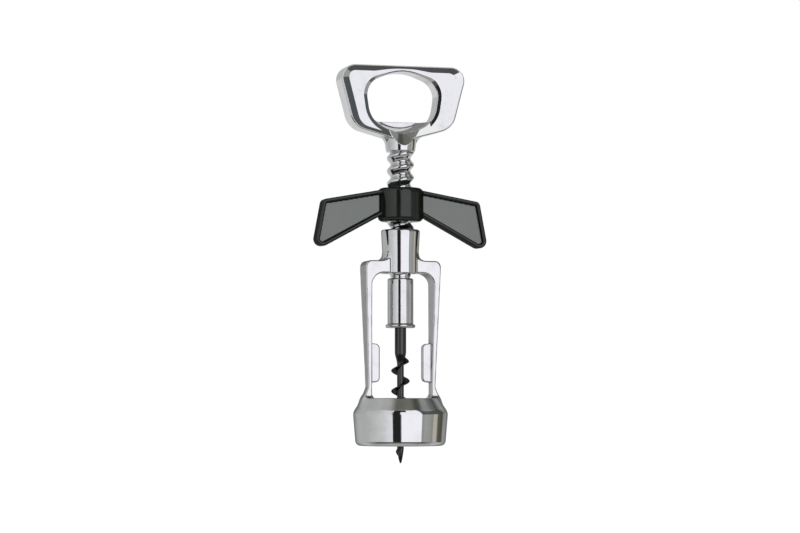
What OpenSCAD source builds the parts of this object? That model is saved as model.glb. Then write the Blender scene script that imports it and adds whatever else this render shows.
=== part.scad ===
// Bell corkscrew with a wing nut and a crown-cap opener in its handle.
// Z runs along the spindle, X across the handle and wings, and the front faces -Y.
// The origin is the centre of the ring's bottom rim, where the tool rests on a bottle.

/* [Ring] */
// Radius at which the ring's side and shoulder meet, before they are rounded
ring_r = 19.85; // [19:0.05:21]
// Height of the whole ring
ring_h = 19.9; // [19:0.1:20.5]
// Height at which the ring's side and shoulder meet
ring_wide_z = 13.5; // [12:0.1:14.5]
// Rounding where the ring's side and shoulder meet
ring_belly = 4; // [3:0.1:5]
// Radius of the ring's side at its bottom
ring_foot_r = 18.85; // [18.5:0.05:19.5]
// Radius of the ring's flat top
ring_top_r = 16.4; // [16:0.1:17]
// Rounding round the ring's bottom edge
ring_edge = 1.3; // [0.8:0.1:1.6]
// Rounding round the ring's top edge
ring_top_edge = 0.5; // [0.3:0.1:1]
// Diameter of the recess that takes the bottle's lip
lip_recess_d = 32; // [31:0.1:33]
// Depth of the recess that takes the bottle's lip
lip_recess_h = 13; // [11:0.1:14]
// Diameter of the hole that the cork comes up through
cork_hole_d = 24.8; // [24:0.1:25]

/* [Arms and yoke] */
// Half of the width over the arms at the yoke
arm_out_top = 15.9; // [15.5:0.05:16.3]
// Half of the width over the arms where they bend
arm_out_mid = 15; // [14.8:0.05:15.4]
// Height at which the arms bend
arm_mid_z = 40.7; // [36:0.1:46]
// Half of the width over the arms where their feet start to spread
arm_out_low = 14.5; // [14.3:0.05:14.8]
// Half of the gap between the arms under the yoke
arm_in_top = 13.5; // [13:0.05:13.8]
// Half of the gap between the arms at the ring
arm_in_low = 12.9; // [12.6:0.05:13.1]
// Height of the arms' spreading feet over the ring
foot_h = 4.5; // [3.5:0.1:6]
// Rounding where the arms spread into their feet
foot_corner = 4; // [2:0.1:5]
// How far the feet reach out past the ring's flat top
foot_reach = 0.4; // [0.1:0.1:0.6]
// How far below the ring's top the feet's outside ends
foot_drop = 0.6; // [0.3:0.1:0.8]
// How far the arms run down into the ring
foot_sink = 2.9; // [2:0.1:4]
// Front-to-back depth of the yoke
yoke_depth = 10.2; // [9:0.1:11]
// Front-to-back depth of the arms at the ring
arm_depth_low = 5.2; // [4.5:0.1:7]
// Height of the yoke's underside, which is the barrel's bottom too
yoke_low_z = 72.1; // [71:0.1:73]
// Height of the yoke itself
yoke_h = 4.5; // [3.8:0.1:5.5]
// Rounding of the yoke's outer top corners
yoke_corner = 2.5; // [1.5:0.1:3]
// Rounding inside the arch between the arms
arch_corner = 4; // [3:0.1:5]

/* [Cork grips] */
// Half of the gap between the two grip ribs
grip_in = 9.2; // [8.6:0.1:10]
// Thickness of a grip rib
grip_t = 2.5; // [2:0.1:3]
// Height of a grip rib's lower end
grip_low_z = 26.7; // [25:0.1:28]
// Length of a grip rib
grip_h = 15.7; // [14:0.1:17]
// Rounding of a grip rib's two free corners
grip_corner = 2; // [1:0.1:3]
// How far a grip rib runs into its arm
grip_sink = 1.2; // [0.6:0.1:1.6]
// How much longer a grip rib is at each end inside its arm
grip_splay = 0.6; // [0:0.1:1]

/* [Barrel] */
// Height of the barrel
barrel_h = 18.3; // [17:0.1:19]
// Radius of the barrel's top
barrel_r = 8.2; // [8:0.05:8.6]
// Radius of the barrel's waist, above the yoke
barrel_waist_r = 7.65; // [7.3:0.05:7.9]
// Height of the barrel's waist over its bottom
barrel_waist_h = 7.9; // [7:0.1:9]
// Radius of the fillet between the yoke's top and the barrel's waist
waist_r = 3.2; // [2.5:0.1:3.4]
// Rounding of the barrel's top edge
barrel_edge = 0.9; // [0.4:0.1:1.2]

/* [Handle] */
// Height of the handle's plate, from its lowest point in the neck to its top
handle_h = 31.85; // [30:0.05:34]
// Half of the plate's width at its top corners, before they are rounded
handle_top_half = 28.25; // [26:0.05:30]
// Half of the plate's width at its lower corners, before they are rounded
handle_low_half = 21.4; // [20:0.05:23]
// Height of the lower corners over the plate's lowest point
handle_low_rise = 5.9; // [5:0.1:7]
// Rounding of the plate's top corners
handle_top_corner = 5.8; // [5:0.1:7]
// Rounding of the plate's lower corners
handle_low_corner = 8.5; // [7:0.1:9.5]
// Thickness of the handle over its rim
handle_t = 10.2; // [9.6:0.1:11]
// Rounding along the plate's top edge, front and back
handle_top_edge = 2.2; // [1.5:0.1:2.6]

/* [Dished faces] */
// Depth of the dish in each face of the handle
dish_depth = 1; // [0.6:0.05:1.4]
// Width of the flat land between the dish and the plate's edge
dish_land = 0.45; // [0.3:0.05:1]
// Width of the dish's slopes at the sides
dish_side_w = 3.85; // [3.2:0.05:4.5]
// Width of the dish's slopes at the bottom
dish_low_w = 2.85; // [2.2:0.05:3.4]
// Width of the dish's slope at the top
dish_top_w = 2.75; // [2.2:0.05:3.4]
// Height of the collar round the opening over the dish's floor
collar_h = 0.35; // [0.2:0.05:0.8]
// Width of the collar at its foot
collar_w = 0.95; // [0.8:0.05:1.5]
// Width of the collar at its crest
collar_crest_w = 0.35; // [0.2:0.05:0.6]

/* [Opening and cap lifter] */
// Height of the bar over the opening, before the opening's top is rounded
opening_bar = 1.05; // [0.9:0.05:2]
// Height of the opening's lowest corner over the plate's lowest point
opening_chin = 2.7; // [2.4:0.1:3.4]
// Half of the opening's width at its upper corners, before they are rounded
opening_high_half = 16.1; // [15.5:0.1:17]
// Half of the opening's width at its lower corners, before they are rounded
opening_low_half = 13.7; // [13:0.1:15]
// Height of the opening's upper corners, as a part of its height
opening_high_part = 0.775; // [0.7:0.005:0.8]
// Height of the opening's lower corners, as a part of its height
opening_low_part = 0.195; // [0.18:0.005:0.25]
// Rounding of the opening's arched top
opening_top_r = 19; // [15:0.5:22]
// Rounding of the opening's upper corners
opening_high_r = 8; // [6:0.1:9]
// Rounding of the opening's lower corners
opening_low_r = 11; // [8:0.1:12]
// Rounding of the opening's lowest corner
opening_tip_r = 6; // [3:0.1:8]
// Thickness of the cap-lifting lip at the back of the opening
cap_lip_t = 2; // [1.4:0.1:2.6]
// Height of the lip's straight edge over the opening's lowest corner
cap_lip_h = 6.2; // [5:0.1:7]
// Radius of the scooped floor in front of the lip
scoop_r = 18; // [15:0.5:22]
// Depth of the scooped floor under the lip's straight edge
scoop_h = 2.1; // [1.5:0.1:3]
// How steeply the scooped floor falls towards the front, in degrees
scoop_slope = 25; // [15:1:30]

/* [Neck] */
// Length of thread in sight between the nut and the neck
thread_show = 15; // [12:0.1:18]
// Height of the plate's lowest point over the neck's bottom
neck_h = 4.2; // [3.6:0.1:5]
// Radius of the neck at its bottom
neck_r = 6.1; // [6:0.05:6.4]
// Radius of the neck where it starts to spread into the handle
neck_spread_r = 6.6; // [6.5:0.05:7]
// Height of the neck under its spread
neck_round_h = 3.3; // [3:0.1:3.8]
// Radius of the neck's spread
spread_r = 3.2; // [2.6:0.1:3.6]
// How far the neck's spread turns outwards, in degrees
spread_turn = 75; // [60:1:85]
// Rounding of the neck's bottom edge
neck_edge = 0.8; // [0.4:0.1:1.2]
// Lean of the two facets between the neck and the handle's faces, in degrees
facet_lean = 25.5; // [20:0.5:30]
// How far the facets climb the handle above the neck's spread
facet_climb = 1.9; // [1:0.1:2.4]

/* [Spindle thread] */
// Pitch of the single-start, right-hand thread
thread_pitch = 5.35; // [5:0.05:5.6]
// Radius of the thread's crest
thread_crest_r = 5.75; // [5.6:0.01:5.75]
// Radius of the thread's root
thread_root_r = 4.2; // [4.1:0.05:4.5]
// Height at which a crest passes over the +X axis
thread_phase_z = 112.56; // [112:0.01:113]
// How far the thread ends below the barrel
thread_drop = 1.6; // [1.2:0.1:1.9]
// Length over which the thread fades out at its lower end
thread_fade = 3; // [2:0.1:4]

/* [Stud and sleeve] */
// Radius of the plain stud under the thread
stud_r = 4; // [3.9:0.05:4.05]
// Radius of the spigot that carries the washer
spigot_r = 3.3; // [3:0.05:3.5]
// Radius over the peened end of the spigot
peened_r = 3.9; // [3.6:0.05:4]
// Height of the peened end's cone
peen_h = 0.5; // [0.3:0.1:0.8]
// Outer radius of the sleeve
sleeve_r = 5.3; // [5.2:0.05:5.5]
// Rounding of the sleeve's top edge
sleeve_edge = 0.8; // [0.4:0.1:1]
// Room between the sleeve's top and the barrel while the spindle is down
sleeve_gap = 2.1; // [2:0.1:2.6]
// Outer radius of the washer
washer_r = 6.25; // [6.2:0.05:6.4]
// How far the spindle lifts before its washer meets the barrel
lift = 21.3; // [21:0.1:22]
// Thickness of the washer
washer_t = 1.6; // [1.4:0.1:1.8]

/* [Wing nut] */
// Radius of the hub
hub_r = 9.55; // [9:0.05:10]
// Height of the hub's bottom over the barrel while the tool is closed
nut_gap = 3.4; // [2.8:0.1:4]
// Height of the hub itself
hub_h = 14.1; // [13.5:0.1:14.6]
// Rounding of the hub's edges
hub_edge = 2; // [1:0.1:2.4]
// Thickness of a wing over its raised rim
wing_t = 6; // [5:0.1:7]
// Reach of a wing's upper corner from the axis
wing_top_reach = 34.1; // [32:0.1:36]
// Depth of a wing's upper corner under the hub's top
wing_top_drop = 5.4; // [4:0.1:7]
// Rounding of a wing's upper corner
wing_top_corner = 2.2; // [2:0.1:3]
// Reach of a wing's tip from the axis
wing_tip_reach = 38.3; // [36:0.1:40]
// Depth of a wing's tip under the hub's top
wing_tip_drop = 27.6; // [25:0.1:30]
// Rounding of a wing's tip
wing_tip_corner = 3.1; // [2.2:0.1:4]
// Depth of a wing's upper edge under the hub's top where it meets the hub
wing_root_drop = 0.7; // [0.4:0.1:1.5]
// Height of a wing's lower edge over the hub's bottom where it meets the hub
wing_root_rise = 3.1; // [2:0.1:4]
// How far a wing runs into the hub
wing_sink = 2; // [1.5:0.1:2.5]
// Thickness of the thin panel inside a wing's rim
wing_panel_t = 2.4; // [1.6:0.1:3]
// Width of a wing's raised rim
wing_rim = 1.7; // [1.2:0.1:2]

/* [Worm] */
// Radius of the worm's shank
shank_r = 2.4; // [2.2:0.05:2.5]
// Radius of the worm's core
core_r = 1.43; // [1.3:0.01:1.6]
// Radius of the helical blade
blade_r = 3.9; // [3.7:0.05:4]
// Pitch of the right-hand blade
blade_pitch = 8.55; // [8:0.05:9]
// Height at which the blade's edge passes over the +X axis
blade_phase_z = 18.88; // [18:0.01:19]
// How far the worm's point stands below the ring
tip_drop = 7.3; // [6.5:0.1:8]
// Length over which the core comes to its point
point_h = 6; // [4:0.1:8]
// Length over which the blade grows from the point to its full reach
taper_h = 13.3; // [11:0.1:15]
// Length of the round shank below the washer
shank_h = 7.7; // [6:0.1:9]
// Length over which the core swells into the shank
swell_h = 6; // [5:0.1:7]
// How far the blade climbs the swelling core
blade_climb = 2.5; // [2:0.1:3]
// Length over which the blade fades out at its upper end
blade_fade = 6.7; // [5:0.1:8]
// Length of the shank that is cast into the stud
shank_embed = 8; // [6:0.1:10]

/* [Clearances] */
// Radial play of the thread in the barrel's bore
bore_play = 0.1; // [0.1:0.01:0.2]
// Radial play of a turning part on its stud
running_play = 0.05; // [0.04:0.01:0.08]
// Radial play between the nut's thread and the spindle's
thread_play = 0.22; // [0.18:0.01:0.3]
// Radial room round the worm's cast-in shank
cast_room = 0.02; // [0.01:0.01:0.03]

/* [Hidden] */
chrome_colour = [0.78, 0.79, 0.8];
black_colour = [0.09, 0.1, 0.1];
steel_colour = [0.2, 0.2, 0.2];
$fn = 96;
// How far a cutting shape reaches past the faces that it cuts
past = 1;
arc_steps = 6;

// Columns round the thread, and rows in one pitch of it
thread_columns = 24;
thread_rows = 8;
// Columns round the worm, and rows in one pitch, so that the blade's edge runs from corner to corner
blade_steps = 16;
// Half of the thin blade's width on the core, as a part of a pitch
blade_half = 0.11;
// Bluntness of the worm's point, as a part of the core's taper
point_blunt = 0.04;
// Power by which the blade's reach grows from the point
taper_power = 1.2;
// Step where the forged part of the worm meets its round shank
shank_step = 0.06;

// Heights that follow from the sizes above, from the ring up
arm_low_z = ring_h + foot_h;
arm_foot_z = ring_h - foot_sink;
yoke_top_z = yoke_low_z + yoke_h;
barrel_waist_z = yoke_low_z + barrel_waist_h;
barrel_top_z = yoke_low_z + barrel_h;
hub_low_z = barrel_top_z + nut_gap;
hub_top_z = hub_low_z + hub_h;
neck_low_z = hub_top_z + thread_show;
spread_z = neck_low_z + neck_round_h;
neck_top_z = spread_z + spread_r * sin(spread_turn);
handle_low_z = neck_low_z + neck_h;
handle_top_z = handle_low_z + handle_h;
opening_low_z = handle_low_z + opening_chin;
cap_lip_z = opening_low_z + cap_lip_h;

// Heights that follow from the barrel's bottom, going down
thread_low_z = yoke_low_z - thread_drop;
sleeve_top_z = yoke_low_z - sleeve_gap;
washer_top_z = yoke_low_z - lift;
washer_low_z = washer_top_z - washer_t;
shank_low_z = washer_low_z - shank_h;
core_top_z = shank_low_z - swell_h;
blade_top_z = core_top_z + blade_climb;
blade_full_z = blade_top_z - blade_fade;

// Radius and depths that follow
bore_r = thread_crest_r + bore_play;
dish_y = handle_t / 2 - dish_depth;
collar_y = dish_y + collar_h;
lip_front_y = handle_t / 2 - cap_lip_t;

// Unit vector along v
function unit(v) = v / norm(v);

// Points of an arc round a centre, from one angle to another
function arc(centre, r, from, to, steps = arc_steps) =
    [for (i = [0:steps]) let (a = from + (to - from) * i / steps) centre + r * [cos(a), sin(a)]];

// Outline through corners [x, y, radius], each corner rounded by its radius
function rounded(corners) = [
    for (i = [0:len(corners) - 1])
        let (
            before = corners[(i + len(corners) - 1) % len(corners)],
            here = corners[i],
            after = corners[(i + 1) % len(corners)],
            point = [here.x, here.y],
            back = unit([before.x, before.y] - point),
            ahead = unit([after.x, after.y] - point),
            half = acos(back * ahead) / 2,
            r = here[2]
        )
        each r == 0 ? [point] : let (
            centre = point + unit(back + ahead) * r / sin(half),
            start = point + back * r / tan(half) - centre,
            end = point + ahead * r / tan(half) - centre,
            from = atan2(start.y, start.x),
            turn = (atan2(end.y, end.x) - from + 540) % 360 - 180
        ) arc(centre, r, from, from + turn)
];

// The corners of one half, x > 0, followed by their mirror images
function both_halves(half) = concat(
    half,
    [for (i = [len(half) - 1:-1:0]) if (half[i].x > 0) [-half[i].x, half[i].y, half[i][2]]]
);

// Corners of a convex outline moved outwards by d, with their radii grown to match
function grown(corners, d) = [
    for (i = [0:len(corners) - 1])
        let (
            before = corners[(i + len(corners) - 1) % len(corners)],
            here = corners[i],
            after = corners[(i + 1) % len(corners)],
            point = [here.x, here.y],
            back = unit([before.x, before.y] - point),
            ahead = unit([after.x, after.y] - point),
            half = acos(back * ahead) / 2,
            moved = point - unit(back + ahead) * d / sin(half)
        )
        [moved.x, moved.y, here[2] + d]
];

// An outline drawn in X and Z, given a depth that is centred on Y = 0
module slab(depth) {
    translate([0, depth / 2, 0]) rotate([90, 0, 0]) linear_extrude(height = depth) children();
}

// A solid through outlines of equal length, each drawn in X and Z at its own depth, front first
module lofted(outlines, depths) {
    count = len(outlines[0]);
    last = len(outlines) - 1;
    faces = [
        [for (c = [0:count - 1]) c],
        for (i = [0:last - 1])
            for (c = [0:count - 1])
                let (a = i * count + c, b = i * count + (c + 1) % count)
                each [[a, a + count, b + count], [a, b + count, b]],
        [for (c = [count - 1:-1:0]) last * count + c]
    ];
    points = [for (i = [0:last]) for (p = outlines[i]) [p.x, depths[i], p.y]];
    polyhedron(points = points, faces = faces, convexity = 4);
}

// A closed grid of points round the Z axis: rows from the bottom up, columns round it.
// Each cell is split along the diagonal that climbs the way a right-hand thread does.
module turned_grid(rows, columns, points) {
    faces = [
        [for (c = [0:columns - 1]) c],
        for (r = [0:rows - 2])
            for (c = [0:columns - 1])
                let (a = r * columns + c, b = r * columns + (c + 1) % columns)
                each [[a, b + columns, b], [a, a + columns, b + columns]],
        [for (c = [columns - 1:-1:0]) (rows - 1) * columns + c]
    ];
    polyhedron(points = points, faces = faces, convexity = 10);
}

// How far along its pitch a helix is at height z and angle a, from -0.5 to 0.5
function helix_part(z, a, pitch, phase_z) =
    let (turns = (z - phase_z) / pitch - a / 360) turns - floor(turns + 0.5);

// Radius of the thread at height z and angle a, with its depth faded in above its lower end
function thread_radius(z, a) =
    let (
        part = helix_part(z, a, thread_pitch, thread_phase_z),
        fade = min(1, max(0, (z - thread_low_z) / thread_fade))
    )
    thread_root_r + (thread_crest_r - thread_root_r) * fade * (0.5 + 0.5 * cos(360 * part));

// The threaded rod between two heights, grown by some play
module thread_rod(low_z, top_z, play) {
    steps = round((top_z - low_z) / thread_pitch * thread_rows);
    turned_grid(steps + 1, thread_columns, [
        for (i = [0:steps])
            let (z = low_z + (top_z - low_z) * i / steps)
            for (c = [0:thread_columns - 1])
                let (a = c * 360 / thread_columns, r = thread_radius(z, a) + play)
                [r * cos(a), r * sin(a), z]
    ]);
}

module ring_body() {
    // Rounded at the bottom edge and at the widest point, with a straight shoulder above
    outline = rounded([
        [0, 0, 0],
        [ring_foot_r, 0, ring_edge],
        [ring_r, ring_wide_z, ring_belly],
        [ring_top_r, ring_h, ring_top_edge],
        [0, ring_h, 0]
    ]);
    rotate_extrude() polygon(outline);
}

// Arms and yoke as one arch, seen from the front
function arch_outline() = rounded(both_halves([
    [arm_out_top, yoke_top_z, yoke_corner],
    [arm_out_mid, arm_mid_z, 0],
    [arm_out_low, arm_low_z, foot_corner],
    [ring_top_r + foot_reach, ring_h - foot_drop, 0],
    [ring_top_r + foot_reach, arm_foot_z, 0],
    [arm_in_low, arm_foot_z, 0],
    [arm_in_low, arm_low_z, 0],
    [arm_in_top, yoke_low_z, arch_corner]
]));

// Section of the fillet that leads the yoke's top up into the barrel's waist
function waist_fillet() = concat(
    [[0, yoke_top_z - past], [0, yoke_top_z + waist_r]],
    arc([barrel_waist_r + waist_r, yoke_top_z + waist_r], waist_r, 180, 270),
    [[barrel_waist_r + waist_r, yoke_top_z - past]]
);

// Side view of the arms, which narrow towards the ring
function side_outline() = both_halves([
    [yoke_depth / 2, barrel_top_z, 0],
    [yoke_depth / 2, yoke_low_z, 0],
    [arm_depth_low / 2, arm_low_z, 0],
    [arm_depth_low / 2, arm_foot_z - past, 0]
]);

module cage() {
    intersection() {
        union() {
            slab(yoke_depth + past) polygon(arch_outline());
            rotate_extrude() polygon(waist_fillet());
        }
        rotate([90, 0, 90])
            linear_extrude(height = 3 * arm_out_top, center = true)
                polygon([for (p = side_outline()) [p.x, p.y]]);
    }
}

module barrel_body() {
    rotate_extrude() polygon(rounded([
        [0, yoke_low_z, 0],
        [barrel_waist_r, yoke_low_z, 0],
        [barrel_waist_r, barrel_waist_z, 0],
        [barrel_r, barrel_top_z, barrel_edge],
        [0, barrel_top_z, 0]
    ]));
}

// One of the two ribs that keep the drawn cork from turning, at the +X arm
module grip_rib() {
    slab(grip_t) polygon(rounded([
        [grip_in, grip_low_z, grip_corner],
        [grip_in, grip_low_z + grip_h, grip_corner],
        [arm_in_low + grip_sink, grip_low_z + grip_h + grip_splay, 0],
        [arm_in_low + grip_sink, grip_low_z - grip_splay, 0]
    ]));
}

// The one-piece casting: barrel, yoke, two arms with grip ribs, and the ring
module bell_frame() {
    color(chrome_colour) difference() {
        union() {
            ring_body();
            cage();
            barrel_body();
            grip_rib();
            mirror([1, 0, 0]) grip_rib();
        }
        translate([0, 0, yoke_low_z - past])
            cylinder(r = bore_r, h = barrel_top_z - yoke_low_z + 2 * past);
        translate([0, 0, -past]) cylinder(d = lip_recess_d, h = lip_recess_h + past);
        cylinder(d = cork_hole_d, h = ring_h + past);
    }
}

// Corners of the handle's plate, drawn in by their own distances at its top, sides and bottom
function handle_corners(top, side, low) =
    let (
        corner_z = handle_low_z + handle_low_rise,
        side_lean = (handle_top_half - handle_low_half) / (handle_top_z - corner_z),
        low_lean = handle_low_rise / handle_low_half,
        side_x = handle_low_half - side * norm([1, side_lean]),
        low_z = handle_low_z + low * norm([1, low_lean]),
        top_z = handle_top_z - top,
        low_x = (side_x + side_lean * (low_z - corner_z)) / (1 - side_lean * low_lean)
    )
    both_halves([
        [side_x + side_lean * (top_z - corner_z), top_z, handle_top_corner - (top + side) / 2],
        [low_x, low_z + low_lean * low_x, handle_low_corner - (side + low) / 2],
        [0, low_z, 0]
    ]);

// The plate, with its top edge rounded at the front and the back
module plate() {
    intersection() {
        slab(handle_t) polygon(rounded(handle_corners(0, 0, 0)));
        rotate([90, 0, 90])
            linear_extrude(height = 4 * handle_top_half, center = true)
                polygon(rounded(both_halves([
                    [handle_t / 2, handle_top_z, handle_top_edge],
                    [handle_t / 2, handle_low_z - past, 0]
                ])));
    }
}

// What dishes the front face: slopes that fall from the land to a flat floor
module dish() {
    rim = rounded(handle_corners(handle_top_edge, dish_land, dish_land));
    floor = rounded(handle_corners(
        handle_top_edge + dish_top_w, dish_land + dish_side_w, dish_land + dish_low_w
    ));
    lofted([rim, rim, floor], [-handle_t / 2 - past, -handle_t / 2, -dish_y]);
}

// The opening: an arched top, upright sides and a shallow V at the bottom
function opening_corners() =
    let (top_z = handle_top_z - opening_bar, h = top_z - opening_low_z)
    both_halves([
        [0, top_z, opening_top_r],
        [opening_high_half, opening_low_z + h * opening_high_part, opening_high_r],
        [opening_low_half, opening_low_z + h * opening_low_part, opening_low_r],
        [0, opening_low_z, opening_tip_r]
    ]);

// The collar round the opening, with a crest and a sloping outside on both faces
module collar() {
    crest = rounded(grown(opening_corners(), collar_crest_w));
    foot = rounded(grown(opening_corners(), collar_w));
    lofted([crest, foot, foot, crest], [-collar_y, -dish_y, dish_y, collar_y]);
}

// What the opening takes away. It leaves the cap-lifting lip at the back, and the scoop before it.
module opening_void() {
    wide = 4 * handle_top_half;
    intersection() {
        slab(handle_t + 2 * past) polygon(rounded(opening_corners()));
        union() {
            translate([-wide / 2, -wide / 2, cap_lip_z]) cube(wide);
            intersection() {
                translate([-wide / 2, lip_front_y - wide, handle_low_z]) cube(wide);
                translate([0, lip_front_y, cap_lip_z - scoop_h])
                    rotate([scoop_slope + 90, 0, 0])
                        translate([0, scoop_r, 0])
                            cylinder(r = scoop_r, h = wide, center = true);
            }
        }
    }
}

// Half of the neck's depth between its two facets at height z
function facet_y(z) = handle_t / 2 + (neck_top_z - z) * tan(facet_lean);

module neck_body() {
    top_z = neck_top_z + facet_climb;
    spread = arc([neck_spread_r + spread_r, spread_z], spread_r, 180, 180 - spread_turn);
    intersection() {
        rotate_extrude() polygon(concat(
            [[0, neck_low_z]],
            arc([neck_r - neck_edge, neck_low_z + neck_edge], neck_edge, -90, 0),
            spread,
            [[spread[arc_steps].x, top_z], [0, top_z]]
        ));
        // Two sloping facets bring the round neck back to the handle's two faces
        rotate([90, 0, 90])
            linear_extrude(height = 4 * neck_spread_r, center = true)
                polygon([
                    [-facet_y(neck_low_z - past), neck_low_z - past],
                    [facet_y(neck_low_z - past), neck_low_z - past],
                    [facet_y(top_z), top_z],
                    [-facet_y(top_z), top_z]
                ]);
    }
}

// The one-piece casting: handle with the crown-cap opener, neck, thread and stud
module handle_spindle() {
    color(chrome_colour) difference() {
        union() {
            difference() {
                union() {
                    difference() {
                        plate();
                        dish();
                        mirror([0, 1, 0]) dish();
                    }
                    collar();
                    neck_body();
                }
                opening_void();
            }
            thread_rod(thread_low_z, neck_low_z + past, 0);
            translate([0, 0, washer_top_z])
                cylinder(r = stud_r, h = thread_low_z - washer_top_z + thread_fade);
            translate([0, 0, washer_low_z]) cylinder(r = spigot_r, h = washer_t + past);
            translate([0, 0, washer_low_z]) cylinder(r1 = peened_r, r2 = spigot_r, h = peen_h);
        }
        translate([0, 0, washer_low_z - past])
            cylinder(r = shank_r + cast_room, h = shank_embed + past);
    }
}

// Outline of the +X wing, which runs into the hub
function wing_outline() = [
    [hub_r - wing_sink, hub_top_z - wing_root_drop, 0],
    [wing_top_reach, hub_top_z - wing_top_drop, wing_top_corner],
    [wing_tip_reach, hub_top_z - wing_tip_drop, wing_tip_corner],
    [hub_r - wing_sink, hub_low_z + wing_root_rise, 0]
];

module wing() {
    difference() {
        slab(wing_t) polygon(rounded(wing_outline()));
        for (side = [-1, 1])
            translate([0, side * wing_t / 2, 0]) slab(wing_t - wing_panel_t)
                offset(delta = -wing_rim) polygon(rounded(wing_outline()));
    }
}

// The moulded nut: hub with an internal thread, and two wings
module wing_nut() {
    color(black_colour) difference() {
        union() {
            rotate_extrude() polygon(rounded([
                [0, hub_low_z, 0],
                [hub_r, hub_low_z, hub_edge],
                [hub_r, hub_top_z, hub_edge],
                [0, hub_top_z, 0]
            ]));
            wing();
            mirror([1, 0, 0]) wing();
        }
        thread_rod(hub_low_z - past, hub_top_z + past, thread_play);
    }
}

// The loose tube over the stud, between the thread and the washer
module sleeve() {
    color(chrome_colour) rotate_extrude() polygon(concat(
        [[stud_r + running_play, washer_top_z], [sleeve_r, washer_top_z]],
        arc([sleeve_r - sleeve_edge, sleeve_top_z - sleeve_edge], sleeve_edge, 0, 90),
        [[stud_r + running_play, sleeve_top_z]]
    ));
}

// The washer under the sleeve, which stops the spindle at the barrel
module retaining_washer() {
    edge = washer_t / 2;
    inner_r = spigot_r + running_play;
    color(chrome_colour) rotate_extrude() polygon(concat(
        [[inner_r, washer_top_z], [inner_r, washer_low_z + peen_h]],
        [[peened_r + running_play, washer_low_z]],
        arc([washer_r - edge, washer_low_z + edge], edge, -90, 90)
    ));
}

// Outer radius of the worm at height z, drawn in to a point at its lower end
function blade_reach(z) =
    let (
        up = min(1, max(0, (blade_top_z - z) / (blade_top_z - blade_full_z))),
        down = min(1, max(0, (z + tip_drop) / taper_h))
    )
    (blade_r - core_r) * up * pow(down, taper_power);

// Radius of the core at height z
function core_reach(z) =
    let (
        down = min(1, max(point_blunt, (z + tip_drop) / point_h)),
        swell = min(1, max(0, (z - core_top_z) / (shank_low_z - core_top_z)))
    )
    core_r * sqrt(down) + (shank_r - shank_step - core_r) * swell;

// Radius of the worm at height z and angle a: the core with the blade on it
function worm_radius(z, a) =
    let (rise = 1 - abs(helix_part(z, a, blade_pitch, blade_phase_z)) / blade_half)
    core_reach(z) + blade_reach(z) * max(0, rise);

// The steel worm, cast into the stud by its shank
module worm() {
    row_h = blade_pitch / blade_steps;
    first = -round((blade_phase_z + tip_drop) / row_h);
    last = round((shank_low_z - blade_phase_z) / row_h);
    shaft_low_z = blade_phase_z + last * row_h;
    color(steel_colour) union() {
        turned_grid(last - first + 1, blade_steps, [
            for (i = [first:last])
                for (c = [0:blade_steps - 1])
                    let (
                        z = blade_phase_z + i * row_h,
                        a = c * 360 / blade_steps,
                        r = worm_radius(z, a)
                    )
                    [r * cos(a), r * sin(a), z]
        ]);
        translate([0, 0, shaft_low_z - row_h / 2])
            cylinder(r = shank_r, h = washer_low_z + shank_embed - shaft_low_z + row_h / 2);
    }
}

bell_frame();
handle_spindle();
wing_nut();
sleeve();
retaining_washer();
worm();
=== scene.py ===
"""A bell corkscrew with a wing nut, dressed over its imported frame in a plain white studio."""

import math
from itertools import product

import bmesh
import bpy
import numpy as np
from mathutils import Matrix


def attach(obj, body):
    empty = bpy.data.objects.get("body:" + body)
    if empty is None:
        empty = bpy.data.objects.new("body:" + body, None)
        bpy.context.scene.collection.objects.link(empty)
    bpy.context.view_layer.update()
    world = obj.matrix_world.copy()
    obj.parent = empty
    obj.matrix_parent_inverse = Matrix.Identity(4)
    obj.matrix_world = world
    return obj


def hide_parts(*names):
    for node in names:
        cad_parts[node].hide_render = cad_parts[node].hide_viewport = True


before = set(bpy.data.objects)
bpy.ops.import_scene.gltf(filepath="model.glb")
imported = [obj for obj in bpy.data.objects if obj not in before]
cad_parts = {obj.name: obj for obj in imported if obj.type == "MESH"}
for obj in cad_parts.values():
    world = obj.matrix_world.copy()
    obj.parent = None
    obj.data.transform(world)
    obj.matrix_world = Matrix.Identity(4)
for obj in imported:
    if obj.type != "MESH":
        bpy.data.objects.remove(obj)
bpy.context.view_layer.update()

# Millimetres to metres, and how near two points are one, in metres
MM = 0.001
WELD = 1e-7

# A distance beyond any in the model, one that is well inside a solid, and one too small to matter
FAR = 1e9
INSIDE = -3.0
TINY = 1e-9

# Mesh pitch of the cast and moulded pieces, and the finer one of the handle, in millimetres
PITCH = 0.4
HANDLE_PITCH = PITCH * 0.55
# Nodes along one side of a block in the first, rough pass, and how many pitches from the surface
# the middle of a block may be and still hold some of it
BLOCK = 4
BLOCK_REACH = BLOCK * 0.9 + 2
# Passes that draw a mesh's points onto the surface, and the least squared slope that they trust
DRAW_PASSES = 4
LEAST_SLOPE = 0.05
# Columns round a turned piece, the threaded spindle and the worm
TURNED_COLUMNS = 128
THREAD_COLUMNS = 96
WORM_COLUMNS = 72


# Outlines and fields, all in millimetres

def unit(v):
    """v at length 1."""
    return v / np.linalg.norm(v)


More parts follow.
